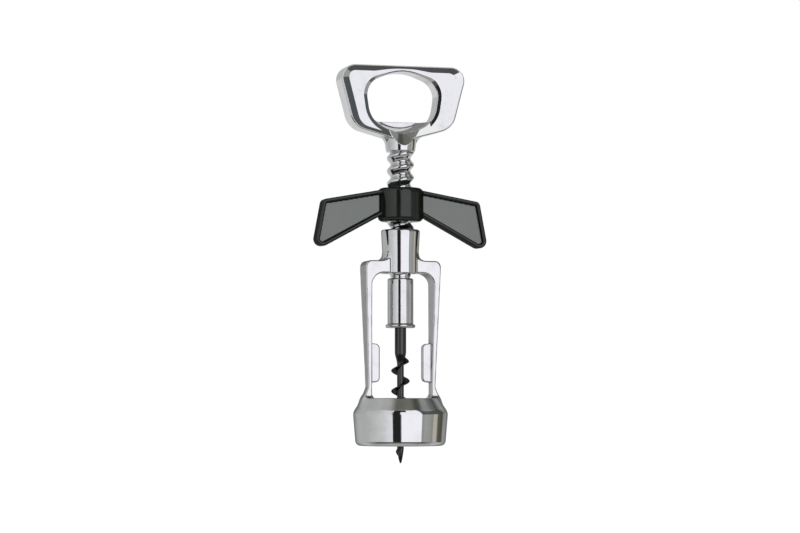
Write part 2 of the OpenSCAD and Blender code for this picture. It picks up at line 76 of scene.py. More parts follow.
class Outline:
    """A closed outline of straight runs and corner arcs, from corners (x, y, radius)."""

    def __init__(self, corners):
        self.points = np.array([corner[:2] for corner in corners], float)
        self.arcs = []
        leave = []
        reach = []
        count = len(corners)
        for i, (_, _, radius) in enumerate(corners):
            here = self.points[i]
            back = unit(self.points[i - 1] - here)
            ahead = unit(self.points[(i + 1) % count] - here)
            if radius == 0:
                leave.append(here)
                reach.append(here)
                continue
            half = math.acos(float(np.clip(back @ ahead, -1, 1))) / 2
            centre = here + unit(back + ahead) * radius / math.sin(half)
            reach.append(here + back * radius / math.tan(half))
            leave.append(here + ahead * radius / math.tan(half))
            self.arcs.append((centre, radius, unit(reach[-1] - centre), unit(leave[-1] - centre)))
        self.runs = [(leave[i], reach[(i + 1) % count]) for i in range(count)]

    def distance(self, x, y):
        """Signed distance to the outline, negative inside it."""
        nearest = np.full(x.shape, FAR)
        inside = np.zeros(x.shape, bool)
        for a, b in self.runs:
            along = b - a
            length = max(float(along @ along), TINY)
            t = np.clip(((x - a[0]) * along[0] + (y - a[1]) * along[1]) / length, 0, 1)
            gap = (x - a[0] - t * along[0]) ** 2 + (y - a[1] - t * along[1]) ** 2
            nearest = np.minimum(nearest, gap)
        nearest = np.sqrt(nearest)
        for i in range(len(self.points)):
            ax, ay = self.points[i - 1]
            bx, by = self.points[i]
            if ay != by:
                inside ^= ((ay > y) != (by > y)) & (x < ax + (y - ay) * (bx - ax) / (by - ay))
        for centre, radius, first, last in self.arcs:
            qx = x - centre[0]
            qy = y - centre[1]
            turn = math.copysign(1, first[0] * last[1] - first[1] * last[0])
            past_first = (first[0] * qy - first[1] * qx) * turn >= 0
            before_last = (qx * last[1] - qy * last[0]) * turn >= 0
            span = past_first & before_last
            away = np.hypot(qx, qy)
            nearest = np.where(span, np.minimum(nearest, np.abs(away - radius)), nearest)
            within = (qx * first[0] + qy * first[1] <= radius) & (qx * last[0] + qy * last[1] <= radius)
            inside ^= span & (away > radius) & within
        return np.where(inside, -nearest, nearest)


def both_halves(half):
    """Corners with x of 0 or more, followed by the mirror images of those off the axis."""
    return half + [(-x, y, r) for x, y, r in reversed(half) if x > 0]


def join(a, b, radius):
    """Both solids, with a fillet where they meet."""
    u = np.maximum(radius - a, 0)
    v = np.maximum(radius - b, 0)
    return np.maximum(radius, np.minimum(a, b)) - np.hypot(u, v)


def common(a, b, radius):
    """What both solids hold, with its new edges rounded."""
    u = np.maximum(radius + a, 0)
    v = np.maximum(radius + b, 0)
    return np.minimum(-radius, np.maximum(a, b)) + np.hypot(u, v)


def cut(a, b, radius):
    """Solid a less solid b, with its new edges rounded."""
    return common(a, -b, radius)


def crease(a, b, depth):
    """What both solids hold, with the edge between them softened over about that depth."""
    return np.maximum(a, b) + np.maximum(depth - np.abs(a - b), 0) ** 2 / (4 * depth)


def smooth_rise(value, start, end):
    """0 to 1 as a value goes from start to end, with no slope at either end."""
    t = np.clip((value - start) / (end - start), 0, 1)
    return t * t * (3 - 2 * t)


def between(first, second, share):
    """The first value where the share is 0, and the second where it is 1."""
    return first + (second - first) * share


def helix_share(z, turn, pitch, phase):
    """Place within one pitch of a right-hand helix, from -0.5 to 0.5 with its crest at 0."""
    share = (z - phase) / pitch - turn
    return share - np.floor(share + 0.5)


# Meshes from fields and sections

def slope(field, points, step=0.01):
    """Value and gradient of a field at each point, from four samples round it."""
    corners = np.array([(1, -1, -1), (-1, -1, 1), (-1, 1, -1), (1, 1, 1)], float)
    value = np.zeros(len(points))
    gradient = np.zeros((len(points), 3))
    for corner in corners:
        sample = field(*(points + step * corner).T)
        value += sample / 4
        gradient += sample[:, None] * corner / (4 * step)
    return value, gradient


def skin(field, low, high, pitch):
    """The closed surface where a field is zero: its points, four-sided faces and normals."""
    low = np.array(low, float)
    blocks = np.ceil((np.array(high) - low) / (BLOCK * pitch)).astype(int)
    index = np.indices(blocks).reshape(3, -1).T
    middle = low + (index * BLOCK + (BLOCK - 1) / 2) * pitch
    values = field(*middle.T).reshape(blocks)
    fine = np.abs(values) < BLOCK_REACH * pitch
    for axis in range(3):
        values = values.repeat(BLOCK, axis)
        fine = fine.repeat(BLOCK, axis)
    values[fine] = field(*(low + np.argwhere(fine) * pitch).T)
    solid = values < 0
    shape = np.array(solid.shape)
    axes = np.eye(3, dtype=int)

    # One point in each cell that the surface crosses
    held = np.zeros(shape - 1, np.int8)
    for x, y, z in product((0, 1), repeat=3):
        held += solid[x:x + shape[0] - 1, y:y + shape[1] - 1, z:z + shape[2] - 1]
    crossed = (held > 0) & (held < 8)
    cells = np.argwhere(crossed)
    number = np.full(crossed.shape, -1, np.int64)
    number[crossed] = np.arange(len(cells))
    total = np.zeros((len(cells), 3))
    hits = np.zeros(len(cells))
    for axis in range(3):
        for side in product((0, 1), repeat=2):
            start = np.insert(np.array(side), axis, 0)
            a = values[tuple((cells + start).T)]
            b = values[tuple((cells + start + axes[axis]).T)]
            differ = (a < 0) != (b < 0)
            part = np.where(differ, a / np.where(differ, a - b, 1), 0)
            place = np.tile(start.astype(float), (len(cells), 1))
            place[:, axis] += part
            total += place * differ[:, None]
            hits += differ
    points = low + (cells + total / hits[:, None]) * pitch

    # One face round each grid edge that the surface crosses
    faces = []
    for axis in range(3):
        u = axes[(axis + 1) % 3]
        v = axes[(axis + 2) % 3]
        lower = np.take(solid, range(shape[axis] - 1), axis)
        upper = np.take(solid, range(1, shape[axis]), axis)
        edges = np.argwhere(lower != upper)
        edges = edges[(edges @ u > 0) & (edges @ v > 0)]
        edges = edges[(edges @ u < shape @ u - 1) & (edges @ v < shape @ v - 1)]
        ring = [number[tuple((edges - shift).T)] for shift in (u + v, v, 0 * u, u)]
        quads = np.stack(ring, 1)
        empty_below = ~solid[tuple(edges.T)]
        quads[empty_below] = quads[empty_below][:, ::-1]
        faces.append(quads)
    faces = np.concatenate(faces)

    # Points drawn onto the surface, by no more than a pitch each pass
    for _ in range(DRAW_PASSES):
        value, gradient = slope(field, points)
        size = np.maximum((gradient ** 2).sum(1), LEAST_SLOPE)
        move = gradient * (value / size)[:, None]
        length = np.linalg.norm(move, axis=1)
        move *= np.minimum(1, pitch / np.maximum(length, TINY))[:, None]
        points -= move
    _, gradient = slope(field, points)
    normals = gradient / np.maximum(np.linalg.norm(gradient, axis=1), TINY)[:, None]
    return points, faces, normals


def turned(section, columns):
    """A closed section [(radius, height)] revolved about the Z axis: points, faces and no normals."""
    angles = np.arange(columns) * 2 * math.pi / columns
    section = np.array(section, float)
    points = np.stack([
        section[:, None, 0] * np.cos(angles),
        section[:, None, 0] * np.sin(angles),
        np.repeat(section[:, 1:2], columns, 1)], 2).reshape(-1, 3)
    faces = []
    count = len(section)
    for i in range(count):
        for c in range(columns):
            a = i * columns + c
            b = i * columns + (c + 1) % columns
            d = ((i + 1) % count) * columns + c
            e = ((i + 1) % count) * columns + (c + 1) % columns
            faces.append((a, b, e, d))
    return points, faces, None


def arc(x, y, radius, start, end, steps=8):
    """Points of an arc, with its angles in degrees."""
    angles = np.radians(np.linspace(start, end, steps + 1))
    return [(x + radius * math.cos(a), y + radius * math.sin(a)) for a in angles]


def wound(radius_at, low, high, pitch, phase, shares, columns):
    """A rod whose rows follow a right-hand helix, flat at both ends: points, faces and no normals.

    radius_at(z, share) gives the radius, and shares are places within one pitch, from the crest up."""
    per_turn = len(shares)
    first = math.floor((low - phase) / pitch) - 2
    last = math.ceil((high - phase) / pitch) + 2
    rows = np.array([turn + share for turn in range(first, last) for share in shares])
    turns = np.arange(columns) / columns
    z = np.clip(phase + pitch * (rows[:, None] + turns), low, high)
    r = radius_at(z, helix_share(z, turns, pitch, phase))
    angle = 2 * math.pi * turns
    points = np.stack([r * np.cos(angle), r * np.sin(angle), z], 2).reshape(-1, 3)
    faces = []
    count = len(rows)
    for m in range(count - 1):
        for k in range(columns):
            right, over = (m, k + 1) if k + 1 < columns else (m + per_turn, 0)
            if right + 1 < count:
                faces.append((m * columns + k, right * columns + over,
                              (right + 1) * columns + over, (m + 1) * columns + k))
    return points, faces, None


def mend(mesh):
    """Merge a mesh's doubled points, close its ends and turn its faces outwards."""
    work = bmesh.new()
    work.from_mesh(mesh)
    bmesh.ops.remove_doubles(work, verts=work.verts, dist=WELD)
    bmesh.ops.dissolve_degenerate(work, edges=work.edges, dist=WELD)
    open_edges = [edge for edge in work.edges if edge.is_boundary]
    bmesh.ops.holes_fill(work, edges=open_edges, sides=0)
    bmesh.ops.recalc_face_normals(work, faces=work.faces)
    work.to_mesh(mesh)
    work.free()


def show(name, data):
    """An object in the scene that holds this mesh, camera or lamp."""
    thing = bpy.data.objects.new(name, data)
    bpy.context.scene.collection.objects.link(thing)
    return thing


def put(name, shape, body, node, material, weld=False):
    """A piece from points in millimetres, faces and normals, riding on its body in place of a node."""
    points, faces, normals = shape
    mesh = bpy.data.meshes.new(name)
    mesh.from_pydata((points * MM).tolist(), [], np.asarray(faces).tolist())
    if weld:
        mend(mesh)
    mesh.polygons.foreach_set("use_smooth", [True] * len(mesh.polygons))
    if normals is not None:
        mesh.normals_split_custom_set_from_vertices(normals.tolist())
    mesh.update()
    piece = show(name, mesh)
    mesh.materials.append(material)
    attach(piece, body)
    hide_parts(node)
    return piece


# Materials, with sizes and depths in millimetres

def new_material(name, colour, metallic, roughness, edge_tint):
    """A material, its nodes and its shader. A lower edge tint darkens what is seen at a slant."""
    material = bpy.data.materials.new(name)
    material.use_nodes = True
    tree = material.node_tree
    shader = tree.nodes["Principled BSDF"]
    shader.inputs["Base Color"].default_value = (*colour, 1)
    shader.inputs["Metallic"].default_value = metallic
    shader.inputs["Roughness"].default_value = roughness
    shader.inputs["Specular Tint"].default_value = (edge_tint, edge_tint, edge_tint, 1)
    return material, tree, shader


def add(tree, kind, inputs=None, **properties):
    """A node of that kind, with its properties and its unlinked inputs set."""
    node = tree.nodes.new(kind)
    for name, value in properties.items():
        setattr(node, name, value)
    for name, value in (inputs or {}).items():
        node.inputs[name].default_value = value
    return node


def noise(tree, place, size, detail, rough):
    """Noise whose lumps are about that size across."""
    node = add(tree, "ShaderNodeTexNoise", {"Scale": 1 / (size * MM), "Detail": detail, "Roughness": rough})
    tree.links.new(place, node.inputs["Vector"])
    return node.outputs["Fac"]


def spread(tree, value, source, target=(0, 1)):
    """A value mapped from one range to another, held at its ends."""
    node = add(tree, "ShaderNodeMapRange", clamp=True)
    for key, number in zip(("From Min", "From Max", "To Min", "To Max"), (*source, *target)):
        node.inputs[key].default_value = number
    tree.links.new(value, node.inputs["Value"])
    return node.outputs["Result"]


def mixed(tree, factor, first, second):
    """The first colour where the factor is 0 and the second where it is 1, each a colour or a socket."""
    node = add(tree, "ShaderNodeMix", data_type="RGBA")
    tree.links.new(factor, node.inputs["Factor"])
    for key, colour in (("A", first), ("B", second)):
        if isinstance(colour, tuple):
            node.inputs[key].default_value = (*colour, 1)
        else:
            tree.links.new(colour, node.inputs[key])
    return node.outputs["Result"]


def bump(tree, height, depth, onto=None):
    """A bump of that depth, from a height of 0 to 1."""
    node = add(tree, "ShaderNodeBump", {"Strength": 1.0, "Distance": depth * MM})
    tree.links.new(height, node.inputs["Height"])
    if onto is not None:
        tree.links.new(onto, node.inputs["Normal"])
    return node.outputs["Normal"]


def chrome(name, colour, gloss, wave_depth, pit_depth, edge_tint):
    """Plated metal with a slightly uneven skin, smears in its gloss, duller patches and fine pits.

    gloss is the lowest and highest roughness."""
    material, tree, shader = new_material(name, colour, 1.0, gloss[0], edge_tint)
    place = add(tree, "ShaderNodeTexCoord").outputs["Object"]
    smears = noise(tree, place, size=9, detail=4, rough=0.6)
    tree.links.new(spread(tree, smears, (0.42, 0.72), gloss), shader.inputs["Roughness"])
    patches = noise(tree, place, size=5, detail=5, rough=0.6)
    duller = tuple(0.86 * part for part in colour)
    tone = mixed(tree, spread(tree, patches, (0.5, 0.75)), colour, duller)
    tree.links.new(tone, shader.inputs["Base Color"])
    waves = bump(tree, noise(tree, place, size=4.5, detail=1.5, rough=0.4), wave_depth)
    pits = spread(tree, noise(tree, place, size=0.45, detail=2, rough=0.5), (0.3, 0.5))
    tree.links.new(bump(tree, pits, pit_depth, waves), shader.inputs["Normal"])
    return material


def black_plastic():
    """Moulded black plastic with a fine grain, with the wings' sunken panels painted paler as a painted
    reflection of the soft box.
    """
    dark = (0.052, 0.057, 0.052)
    # The paler grey is a painted reflection: it paints the soft box's sheen into the panels' colour
    painted_reflection_grey = (0.162, 0.172, 0.162)
    material, tree, shader = new_material("moulded_black", dark, 0.9, 0.2, 0)
    coordinates = add(tree, "ShaderNodeTexCoord")
    place = coordinates.outputs["Object"]
    panel = add(tree, "ShaderNodeMath", operation="MULTIPLY")
    # A panel's faces are this near the middle plane, and turned this squarely to the front or back; there
    # the colour is painted paler, a painted reflection of the soft box
    near_middle = ("Object", (1.30 * MM, 1.45 * MM), (1, 0))
    squarely = ("Normal", (0.90, 0.98), (0, 1))
    for i, (output, source, target) in enumerate((near_middle, squarely)):
        parts = add(tree, "ShaderNodeSeparateXYZ")
        tree.links.new(coordinates.outputs[output], parts.inputs[0])
        size = add(tree, "ShaderNodeMath", operation="ABSOLUTE")
        tree.links.new(parts.outputs["Y"], size.inputs[0])
        tree.links.new(spread(tree, size.outputs[0], source, target), panel.inputs[i])
    # The panels take the paler grey, a painted reflection of the soft box
    tree.links.new(mixed(tree, panel.outputs[0], dark, painted_reflection_grey), shader.inputs["Base Color"])
    smears = noise(tree, place, size=7, detail=4, rough=0.6)
    tree.links.new(spread(tree, smears, (0.35, 0.7), (0.12, 0.24)), shader.inputs["Roughness"])
    grain = bump(tree, noise(tree, place, size=0.35, detail=2, rough=0.5), 0.004)
    waves = noise(tree, place, size=6, detail=1, rough=0.4)
    tree.links.new(bump(tree, waves, 0.03, grain), shader.inputs["Normal"])
    return material


def worm_steel():
    """Dark drawn steel with fine marks along its length."""
    material, tree, shader = new_material("worm_steel", (0.08, 0.08, 0.077), 1.0, 0.18, 0.5)
    place = add(tree, "ShaderNodeTexCoord").outputs["Object"]
    stretch = add(tree, "ShaderNodeMapping", {"Scale": (1, 1, 0.12)})
    tree.links.new(place, stretch.inputs["Vector"])
    marks = noise(tree, stretch.outputs["Vector"], size=0.3, detail=3, rough=0.6)
    tree.links.new(spread(tree, marks, (0.35, 0.7), (0.13, 0.24)), shader.inputs["Roughness"])
    tree.links.new(bump(tree, marks, 0.0015), shader.inputs["Normal"])
    return material


CAST_GLOSS = (0.035, 0.085)
TUBE_GLOSS = (0.05, 0.12)
TUBE_COLOUR = (0.69, 0.695, 0.70)
frame_metal = chrome("frame_chrome", (0.72, 0.725, 0.73), CAST_GLOSS, 0.010, 0.0008, 0.25)
handle_metal = chrome("handle_chrome", (0.72, 0.725, 0.735), CAST_GLOSS, 0.012, 0.0010, 0.85)
sleeve_metal = chrome("sleeve_chrome", TUBE_COLOUR, TUBE_GLOSS, 0.008, 0.0030, 0.2)
washer_metal = chrome("washer_chrome", TUBE_COLOUR, TUBE_GLOSS, 0.006, 0.0020, 0.2)
plastic = black_plastic()
steel = worm_steel()


# Bell frame: ring, arms, yoke and barrel in one casting

# Sections turned about the axis (radius, height)
RING = Outline([(-6, 0, 0), (18.8, 0, 2.2), (19.93, 14, 4), (15.95, 19.9, 0.5), (-6, 19.9, 0)])
BARREL = Outline([(-6, 72.1, 0), (7.65, 72.1, 0), (7.65, 80, 30), (8.2, 90.4, 0.9), (-6, 90.4, 0)])
WAIST = Outline([
    (-6, 74, 0), (-6, 79.8, 0), (7.65, 79.8, 0), (7.65, 77.3, 3.15), (10.85, 77.3, 0), (10.85, 74, 0)])
# The arms and yoke seen from the front and from the side, and the cork grip inside an arm
ARCH = Outline(both_halves([
    (16.4, 77.3, 2.5), (15.15, 40.7, 60), (14.6, 24.4, 4), (16.8, 19.3, 0), (16.8, 17, 0),
    (12.9, 17, 0), (12.9, 24.4, 0), (13.5, 72.1, 5)]))
ARM_SIDE = Outline(both_halves([(5.1, 92, 0), (5.1, 72.1, 20), (2.6, 24.4, 6), (2.6, 12, 0)]))
GRIP = Outline([(9.2, 26.7, 2), (9.2, 42.4, 2), (14.1, 43, 0), (14.1, 26.1, 0)])
GRIP_HALF = 1.25

# The spindle's bore, the recess for the bottle's lip and the hole for the cork
BORE_R = 5.85
RECESS_R = 16.0
RECESS_TOP = 13.0
CORK_R = 12.4
CORK_TOP = 21.5

# Roundings of edges, the arms' growing into the yoke's over a short height
ARM_EDGE = 0.55
YOKE_EDGE = 0.9
YOKE_EDGE_LOW = 73.0
YOKE_EDGE_HIGH = 76.0
GRIP_EDGE = 0.6
BORE_EDGE = 0.35
RECESS_EDGE = 0.5
CORK_EDGE = 0.4

# Fillets where parts of the casting meet
WAIST_FILLET = 0.05
BARREL_FILLET = 0.5
RING_FILLET = 2.0
GRIP_FILLET = 0.5


def frame_field(x, y, z):
    """Signed distance to the bell frame."""
    rho = np.hypot(x, y)
    edge = between(ARM_EDGE, YOKE_EDGE, smooth_rise(z, YOKE_EDGE_LOW, YOKE_EDGE_HIGH))
    front_view = join(ARCH.distance(x, z), WAIST.distance(rho, z), WAIST_FILLET)
    flank = common(front_view, ARM_SIDE.distance(y, z), edge)
    grip = common(GRIP.distance(np.abs(x), z), np.abs(y) - GRIP_HALF, GRIP_EDGE)
    body = join(flank, BARREL.distance(rho, z), BARREL_FILLET)
    body = join(body, RING.distance(rho, z), RING_FILLET)
    body = join(body, grip, GRIP_FILLET)
    body = cut(body, rho - BORE_R, BORE_EDGE)
    body = cut(body, np.maximum(rho - RECESS_R, z - RECESS_TOP), RECESS_EDGE)
    return cut(body, np.maximum(rho - CORK_R, z - CORK_TOP), CORK_EDGE)


casting = skin(frame_field, (-21, -21, -1), (21, 21, 92), PITCH)
put("bell_frame_casting", casting, "frame", "bell_frame", frame_metal)


# Handle with its cap lifter, and the neck under it

HANDLE_TOP = 158.95
HANDLE_LOW = 127.1
HANDLE_HALF = 5.1
# Height and half width of the plate's lower corners, and half its width at the top, all unrounded
CORNER_Z = 133.0
CORNER_X = 21.4
TOP_X = 28.25
# Radii of its upper and lower corners
TOP_CORNER_R = 5.8
LOW_CORNER_R = 8.5


def handle_corners(top, side, low):
    """Corners of the handle's plate, drawn in by their own distances at its top, sides and bottom."""
    side_lean = (TOP_X - CORNER_X) / (HANDLE_TOP - CORNER_Z)
    low_lean = (CORNER_Z - HANDLE_LOW) / CORNER_X
    side_x = CORNER_X - side * math.hypot(1, side_lean)
    low_z = HANDLE_LOW + low * math.hypot(1, low_lean)
    top_z = HANDLE_TOP - top
    low_x = (side_x + side_lean * (low_z - CORNER_Z)) / (1 - side_lean * low_lean)
    return both_halves([
        (side_x + side_lean * (top_z - CORNER_Z), top_z, TOP_CORNER_R - (top + side) / 2),
        (low_x, low_z + low_lean * low_x, LOW_CORNER_R - (side + low) / 2),
        (0, low_z, 0)])


# How much wider the plate is at each side than those corners
SIDE_MORE = 0.3
HANDLE = Outline(handle_corners(0, -SIDE_MORE, 0))
OPENING = Outline(both_halves([(0, 157.9, 19), (16.1, 151.58, 8), (13.7, 135.28, 11), (0, 129.8, 6)]))
NECK = Outline([(-6, 122.9, 0), (6.1, 122.9, 0.8), (6.6, 126.2, 20), (6.6, 132, 0), (-6, 132, 0)])

# Roundings of the plate's sides on the front left, front right and back, and of its top corners
FRONT_LEFT_EDGE = 0.8
FRONT_RIGHT_EDGE = 1.25
BACK_EDGE = 0.6
TOP_EDGE = 0.45
TOP_EDGE_LOW = 151.0
TOP_EDGE_HIGH = 156.0

# Outlines where the slopes of each dished face start, and where they reach its floor, left and right,
# with the half width over which one floor gives way to the other
DISH_RIM = Outline(handle_corners(0.15, 0.2, 0.1))
LEFT_FLOOR = Outline(handle_corners(2.4, 3.4, 2.0))
RIGHT_FLOOR = Outline(handle_corners(2.4, 4.4, 3.1))
FLOOR_BLEND = 4.0
DISH_DEPTH = 1.0
# Narrowest slope of the dish, and what makes its field a distance
SLOPE_LEAST = 0.5
SLOPE_SCALE = 0.96

# The dish in section (distance from the opening's wall, distance from the middle plane):
# the collar's crest, then the floor. On the front the collar is countersunk.
BACK_COLLAR = Outline([
    (-4, 4.55, 0), (1.3, 4.55, 0.3), (4.2, 4.1, 2), (60, 4.1, 0), (60, 12, 0), (-4, 12, 0)])
FRONT_COLLAR = Outline([(-4, 1.73, 0), (1.7, 4.1, 0.5), (60, 4.1, 0), (60, 12, 0), (-4, 12, 0)])
# Over these heights the front collar gets narrower, and rises near the opening's wall
COLLAR_LOW = 152.0
COLLAR_HIGH = 156.5
COLLAR_DRAW = 1.1
COLLAR_LIFT = 0.5
LIFT_NEAR = 0.9
LIFT_FAR = 3.4
# Softness of the edges between the slopes and the collar, and round the dish and the valley
COLLAR_CREASE = 0.12
RIM_CREASE = 0.04

# The flat on the back of the neck
FACET_TOP = 129.29
FACET_LEAN = math.radians(25.5)
FACET_EDGE = 0.25
# The neck's fillets at its sides and its faces, and where they change, as sines of the angle from the side
SIDE_FILLET = 3.0
FACE_FILLET = 0.35
SIDE_END = 0.2
FACE_START = 0.5

# The valley on the front, from the opening down to the neck: what it leaves in front of the middle
# plane at the opening's wall, and how that grows away from the wall and beyond the valley's middle
VALLEY_FACE = 3.39
VALLEY_SLOPE = 0.62
VALLEY_MIDDLE = 5.0
VALLEY_SIDE_SLOPE = 0.25
# What makes its field a distance, the heights over which it ends, and what ends it there
VALLEY_SCALE = 0.85
VALLEY_LOW = 133.0
VALLEY_HIGH = 137.0
VALLEY_END = 4.0

# The cap lip across the bottom of the opening, and the scoop before it
LIP_FRONT = 3.1
LIP_TOP = 136.0
LIP_FILLET = 0.25
SCOOP_R = 18.0
SCOOP_Z = 133.7
SCOOP_SLOPE = math.radians(25)
SCOOP_EDGE = 0.5
HOLE_FILLET = 0.4
HOLE_EDGE = 0.3


def handle_field(x, y, z):
    """Signed distance to the handle and its neck."""
    front = y < 0
    deep = np.abs(y)
    flat = deep - HANDLE_HALF
    rho = np.hypot(x, y)
    hole = OPENING.distance(x, z)

    side_edge = np.where(front, np.where(x < 0, FRONT_LEFT_EDGE, FRONT_RIGHT_EDGE), BACK_EDGE)
    edge = between(side_edge, TOP_EDGE, smooth_rise(z, TOP_EDGE_LOW, TOP_EDGE_HIGH))
    plate = common(HANDLE.distance(x, z), flat, edge)

    inward = -DISH_RIM.distance(x, z)
    right = smooth_rise(x, -FLOOR_BLEND, FLOOR_BLEND)
    past_floor = between(LEFT_FLOOR.distance(x, z), RIGHT_FLOOR.distance(x, z), right)
    fall = DISH_DEPTH * inward / np.maximum(inward + past_floor, SLOPE_LEAST)
    slopes = (HANDLE_HALF - fall - deep) * SLOPE_SCALE
    near_top = smooth_rise(z, COLLAR_LOW, COLLAR_HIGH)
    lift = COLLAR_LIFT * near_top * (1 - smooth_rise(hole, LIFT_NEAR, LIFT_FAR))
    front_collar = FRONT_COLLAR.distance(hole + COLLAR_DRAW * near_top, deep - lift)
    collar = np.where(front, front_collar, BACK_COLLAR.distance(hole, deep))
    plate = crease(plate, -crease(slopes, collar, COLLAR_CREASE), RIM_CREASE)

    facet = (flat - (FACET_TOP - z) * math.tan(FACET_LEAN)) * math.cos(FACET_LEAN)
    neck = common(NECK.distance(rho, z), np.where(front, INSIDE, facet), FACET_EDGE)
    facing = smooth_rise(deep / np.maximum(rho, 1), SIDE_END, FACE_START)
    body = join(plate, neck, between(SIDE_FILLET, FACE_FILLET, facing))
    side_rise = VALLEY_SIDE_SLOPE * np.maximum(np.abs(x) - VALLEY_MIDDLE, 0)
    valley = (deep - VALLEY_FACE - VALLEY_SLOPE * hole - side_rise) * VALLEY_SCALE
    valley -= VALLEY_END * smooth_rise(z, VALLEY_LOW, VALLEY_HIGH)
    body = crease(body, np.where(front, valley, INSIDE), RIM_CREASE)

    rise = (z - SCOOP_Z) * math.cos(SCOOP_SLOPE) - (y - LIP_FRONT) * math.sin(SCOOP_SLOPE)
    scoop = np.hypot(x, rise - SCOOP_R) - SCOOP_R
    inner = join(LIP_TOP - z, common(scoop, y - LIP_FRONT, SCOOP_EDGE), LIP_FILLET)
    return cut(body, common(hole, inner, HOLE_FILLET), HOLE_EDGE)


casting = skin(handle_field, (-30, -7.5, 121.5), (30, 7.5, 160.5), HANDLE_PITCH)
put("handle_casting", casting, "spindle", "handle_spindle", handle_metal)


# Threaded spindle and its stud

THREAD_CREST = 5.75
THREAD_ROOT = 4.2
THREAD_PITCH = 5.35
THREAD_PHASE = 112.56
THREAD_LOW = 70.5
THREAD_TOP = 123.6
# Height over which the thread fades out at its lower end
THREAD_FADE = 3.0
THREAD_ROWS = 24
STUD_SECTION = [(2.42, 49.2), (3.9, 49.2), (3.3, 49.7), (3.3, 50.8), (4.0, 50.8), (4.0, 73), (2.42, 73)]


def thread_radius(share, part=1):
    """Radius of the thread, or of one that stands out by only a part of it."""
    wave = 0.5 + 0.5 * np.cos(2 * math.pi * share)
    return THREAD_ROOT + (THREAD_CREST - THREAD_ROOT) * part * wave


def spindle_radius(z, share):
    """Radius of the spindle, whose thread fades out at its lower end."""
    return thread_radius(share, np.clip((z - THREAD_LOW) / THREAD_FADE, 0, 1))


shares = [i / THREAD_ROWS for i in range(THREAD_ROWS)]
thread = wound(spindle_radius, THREAD_LOW, THREAD_TOP, THREAD_PITCH, THREAD_PHASE, shares, THREAD_COLUMNS)
put("spindle_thread", thread, "spindle", "handle_spindle", handle_metal, weld=True)

stud = put("spindle_stud", turned(STUD_SECTION, THREAD_COLUMNS), "spindle", "handle_spindle",
           handle_metal)
stud.data.shade_flat()


# Sleeve and washer

SLEEVE_SECTION = [(4.05, 50.8), (5.2, 50.8), (5.4, 51), (5.4, 51.2), (5.4, 69)]
SLEEVE_SECTION += arc(4.6, 69.2, 0.8, 0, 90) + [(4.05, 70)]
sleeve = turned(SLEEVE_SECTION, TURNED_COLUMNS)
put("loose_sleeve", sleeve, "sleeve", "sleeve", sleeve_metal)

WASHER_SECTION = [(3.35, 50.8), (3.35, 49.7), (3.95, 49.2)] + arc(5.45, 50.0, 0.8, -90, 90, 12)
washer = turned(WASHER_SECTION, TURNED_COLUMNS)
put("end_washer", washer, "washer", "retaining_washer", washer_metal)


# Wing nut

HUB = Outline([(-6, 93.8, 0), (9.55, 93.8, 2.0), (9.55, 107.9, 2.0), (-6, 107.9, 0)])
WING = Outline([(5, 107.65, 0), (34.1, 102.5, 2.2), (38.3, 80.3, 3.1), (5, 98.25, 0)])
# Half thickness of a wing's rim and of the panel inside it, and the rim's width
RIM_HALF = 3.0
PANEL_HALF = 1.2
RIM_WIDTH = 1.7
WING_EDGE = 0.85
PANEL_FILLET = 0.35
PANEL_EDGE = 0.8
HUB_FILLET = 0.3
# Clearance round the spindle's thread, and what makes its field a distance
THREAD_GAP = 0.22
THREAD_SCALE = 0.75
THREAD_EDGE = 0.15


def nut_field(x, y, z):
    """Signed distance to the wing nut, with its threaded bore."""
    rho = np.hypot(x, y)
    outline = WING.distance(np.abs(x), z)
    wing = common(outline, np.abs(y) - RIM_HALF, WING_EDGE)
    panel = common(outline + RIM_WIDTH, PANEL_HALF - np.abs(y), PANEL_FILLET)
    wing = cut(wing, panel, PANEL_EDGE)
    body = join(wing, HUB.distance(rho, z), HUB_FILLET)
    turn = np.arctan2(y, x) / (2 * math.pi)
    groove = thread_radius(helix_share(z, turn, THREAD_PITCH, THREAD_PHASE))
    return cut(body, (rho - groove - THREAD_GAP) * THREAD_SCALE, THREAD_EDGE)


moulding = skin(nut_field, (-40, -11, 79), (40, 11, 109.5), PITCH)
put("wing_nut_moulding", moulding, "nut", "wing_nut", plastic)


# Worm

WORM_TIP = -7.3
WORM_TOP = 57.1
BLADE_PITCH = 8.55
BLADE_PHASE = 18.88
# Radii of the blade and of its core, what the shank adds to the core, and over which heights
BLADE_R = 3.9
CORE_R = 1.43
SHANK_MORE = 0.97
SHANK_LOW = 34.0
SHANK_HIGH = 39.2
# Height where the blade ends, and the height under it over which it fades
BLADE_TOP = 38.0
BLADE_FADE = 3.2
# Length of the core's point, the height where the blade is at full reach, and how it grows to that
POINT_LENGTH = 6.0
BLADE_FULL = 6.0
BLADE_GROWTH = 1.2
# Half the blade's thickness as a share of its pitch, and how full its rounded edge is
BLADE_SHARE = 0.075
BLADE_FULLNESS = 2.2


def worm_radius(z, share):
    """Radius of the worm: its core, its thin blade and the shank above them."""
    point = np.clip((z - WORM_TIP) / POINT_LENGTH, 0, 1)
    core = CORE_R * np.sqrt(point) + SHANK_MORE * smooth_rise(z, SHANK_LOW, SHANK_HIGH)
    fade = np.clip((BLADE_TOP - z) / BLADE_FADE, 0, 1)
    growth = np.clip((z - WORM_TIP) / (BLADE_FULL - WORM_TIP), 0, 1) ** BLADE_GROWTH
    side = np.clip(1 - np.abs(share) / BLADE_SHARE, 0, 1)
    profile = np.sqrt(np.clip(1 - (1 - side) ** BLADE_FULLNESS, 0, 1))
    return core + (BLADE_R - CORE_R) * fade * growth * profile


